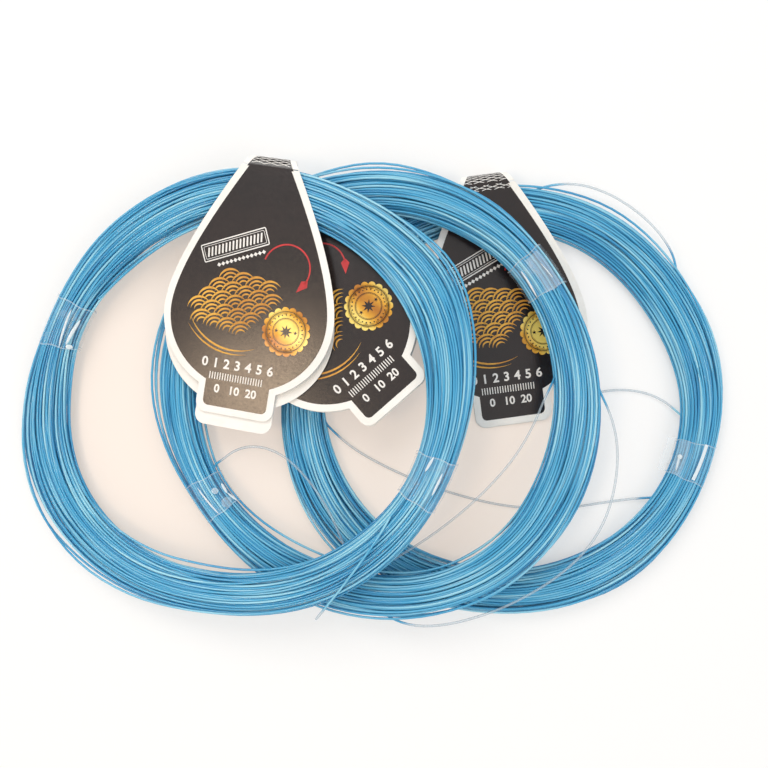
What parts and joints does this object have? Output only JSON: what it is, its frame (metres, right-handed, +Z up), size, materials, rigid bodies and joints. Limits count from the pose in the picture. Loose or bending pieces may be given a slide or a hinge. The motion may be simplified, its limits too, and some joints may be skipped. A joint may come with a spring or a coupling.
{
  "type": "fishing line coil set",
  "caption": "Overlapping ring-shaped hanks of blue nylon fishing line, held by clear tape bands, each with a folded teardrop header card hung over the ring.",
  "frame": {"origin": "bottom centre of the set's bounding box, on the surface it lies on", "axes": "+X along the row of overlapping coils, towards the coil at the bottom of the pile; +Z up; +Y towards the cards' folds"},
  "size_m": [0.2727, 0.1759, 0.0301],
  "materials": {
    "nylon_line": "translucent blue nylon monofilament, glossy",
    "tape_film": "clear adhesive film, glossy, slightly crinkled",
    "header_card": "gloss-laminated card, dark print with a white border"
  },
  "bodies": {
    "coil_3": {"line_coil_3": "nylon_line", "tape_3_left": "tape_film", "tape_3_right": "tape_film", "line_3_inner_strand": "nylon_line", "line_3_cut_end": "nylon_line", "line_3_outer_strand": "nylon_line", "card_3_back": "header_card"},
    "coil_2": {"line_coil_2": "nylon_line", "tape_2_left": "tape_film", "tape_2_right": "tape_film", "line_2_tail": "nylon_line", "line_2_outer_strand": "nylon_line", "line_2_inner_strand": "nylon_line", "card_2_front": "header_card", "card_2_back": "header_card"},
    "coil_1": {"line_coil_1": "nylon_line", "tape_1_left": "tape_film", "tape_1_right": "tape_film", "line_1_cut_end": "nylon_line", "card_1_back": "header_card"},
    "card_1_front": {"card_1_front": "header_card"},
    "card_3_front": {"card_3_front": "header_card"}
  },
  "joints": [
    {"name": "coil_2_lift", "type": "slide", "parent": "coil_3", "child": "coil_2", "axis": [0, 0, 1], "range_m": [0, 0.08]},
    {"name": "coil_1_lift", "type": "slide", "parent": "coil_2", "child": "coil_1", "axis": [0, 0, 1], "range_m": [0, 0.08]},
    {"name": "card_1_open", "type": "hinge", "parent": "coil_1", "child": "card_1_front", "pos_m": [-0.03568, 0.08236, 0.01976], "axis": [-0.9768, 0.1685, -0.1321], "range_deg": [0, 110]},
    {"name": "card_3_open", "type": "hinge", "parent": "coil_3", "child": "card_3_front", "pos_m": [0.04405, 0.07872, 0.00907], "axis": [-0.991, -0.134, 0], "range_deg": [0, 5]}
  ]
}
